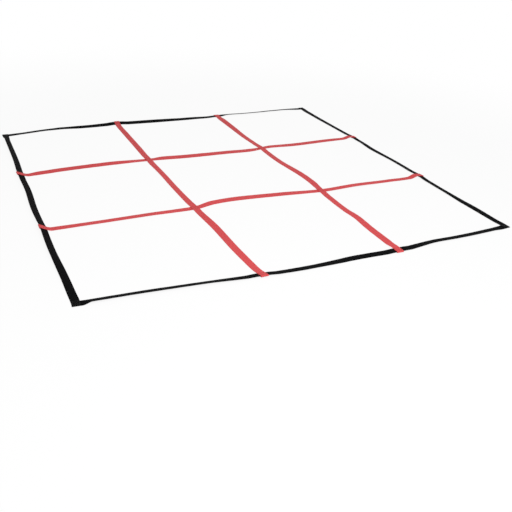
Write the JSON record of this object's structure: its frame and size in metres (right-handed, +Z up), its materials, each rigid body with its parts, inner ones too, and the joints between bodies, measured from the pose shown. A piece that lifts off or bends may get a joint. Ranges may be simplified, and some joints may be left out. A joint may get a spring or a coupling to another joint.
{
  "type": "agility ladder",
  "caption": "Square agility ladder of flat webbing: a black border divided into equal squares by red straps, laid flat on the ground for footwork drills.",
  "frame": {"origin": "middle of the outline on the ground that the straps lie on", "axes": "+X to the right and +Y to the back as seen from the front border, +Z up from the ground"},
  "size_m": [1.5564, 1.5672, 0.0185],
  "materials": {
    "black_webbing": "woven, matt",
    "red_webbing": "woven, slight sheen",
    "black_thread": "twisted thread",
    "red_thread": "twisted thread"
  },
  "bodies": {
    "root": {"front_border_strap": "black_webbing", "back_border_strap": "black_webbing", "left_border_strap": "black_webbing", "right_border_strap": "black_webbing", "left_lane_strap": "red_webbing", "right_lane_strap": "red_webbing", "front_rung_strap": "red_webbing", "back_rung_strap": "red_webbing", "front_left_corner_seam": "black_thread", "front_right_corner_seam": "black_thread", "back_left_corner_seam": "black_thread", "back_right_corner_seam": "black_thread", "front_left_crossing_seam": "red_thread", "front_right_crossing_seam": "red_thread", "back_left_crossing_seam": "red_thread", "back_right_crossing_seam": "red_thread", "front_tee_seam_1": "red_thread", "front_tee_seam_2": "red_thread", "back_tee_seam_1": "red_thread", "back_tee_seam_2": "red_thread", "left_tee_seam_1": "red_thread", "left_tee_seam_2": "red_thread", "right_tee_seam_1": "red_thread", "right_tee_seam_2": "red_thread"}
  },
  "joints": []
}
